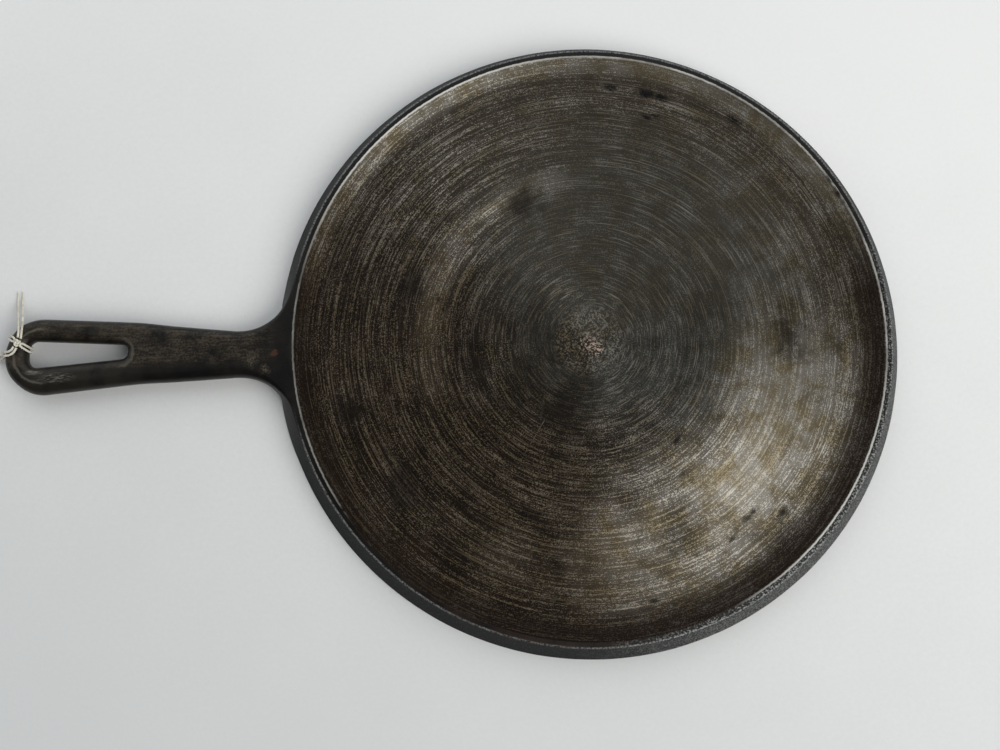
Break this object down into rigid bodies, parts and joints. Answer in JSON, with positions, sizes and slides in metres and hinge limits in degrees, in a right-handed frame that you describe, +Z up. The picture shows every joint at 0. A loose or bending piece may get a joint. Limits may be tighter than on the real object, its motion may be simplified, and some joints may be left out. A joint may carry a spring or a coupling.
{
  "type": "cast iron griddle",
  "caption": "Round cast iron griddle with a shallow turned cooking surface, raised rim, flared skirt and a long eyed handle with a cotton string tied through it.",
  "frame": {"origin": "on the surface that the griddle stands on, under the middle of the casting's box", "axes": "+Z up out of the cooking surface, +X from the handle towards the plate, +Y across the handle"},
  "size_m": [0.4741, 0.311, 0.0161],
  "materials": {
    "seasoned_iron": "seasoned, turned cooking surface, as-cast outside",
    "cotton_string": "matte twisted cotton"
  },
  "bodies": {
    "root": {"griddle_casting": "seasoned_iron", "string_turn_upper": "cotton_string", "string_turn_lower": "cotton_string", "string_knot": "cotton_string", "string_loop": "cotton_string", "string_tail_left": "cotton_string", "string_tail_right": "cotton_string"}
  },
  "joints": []
}
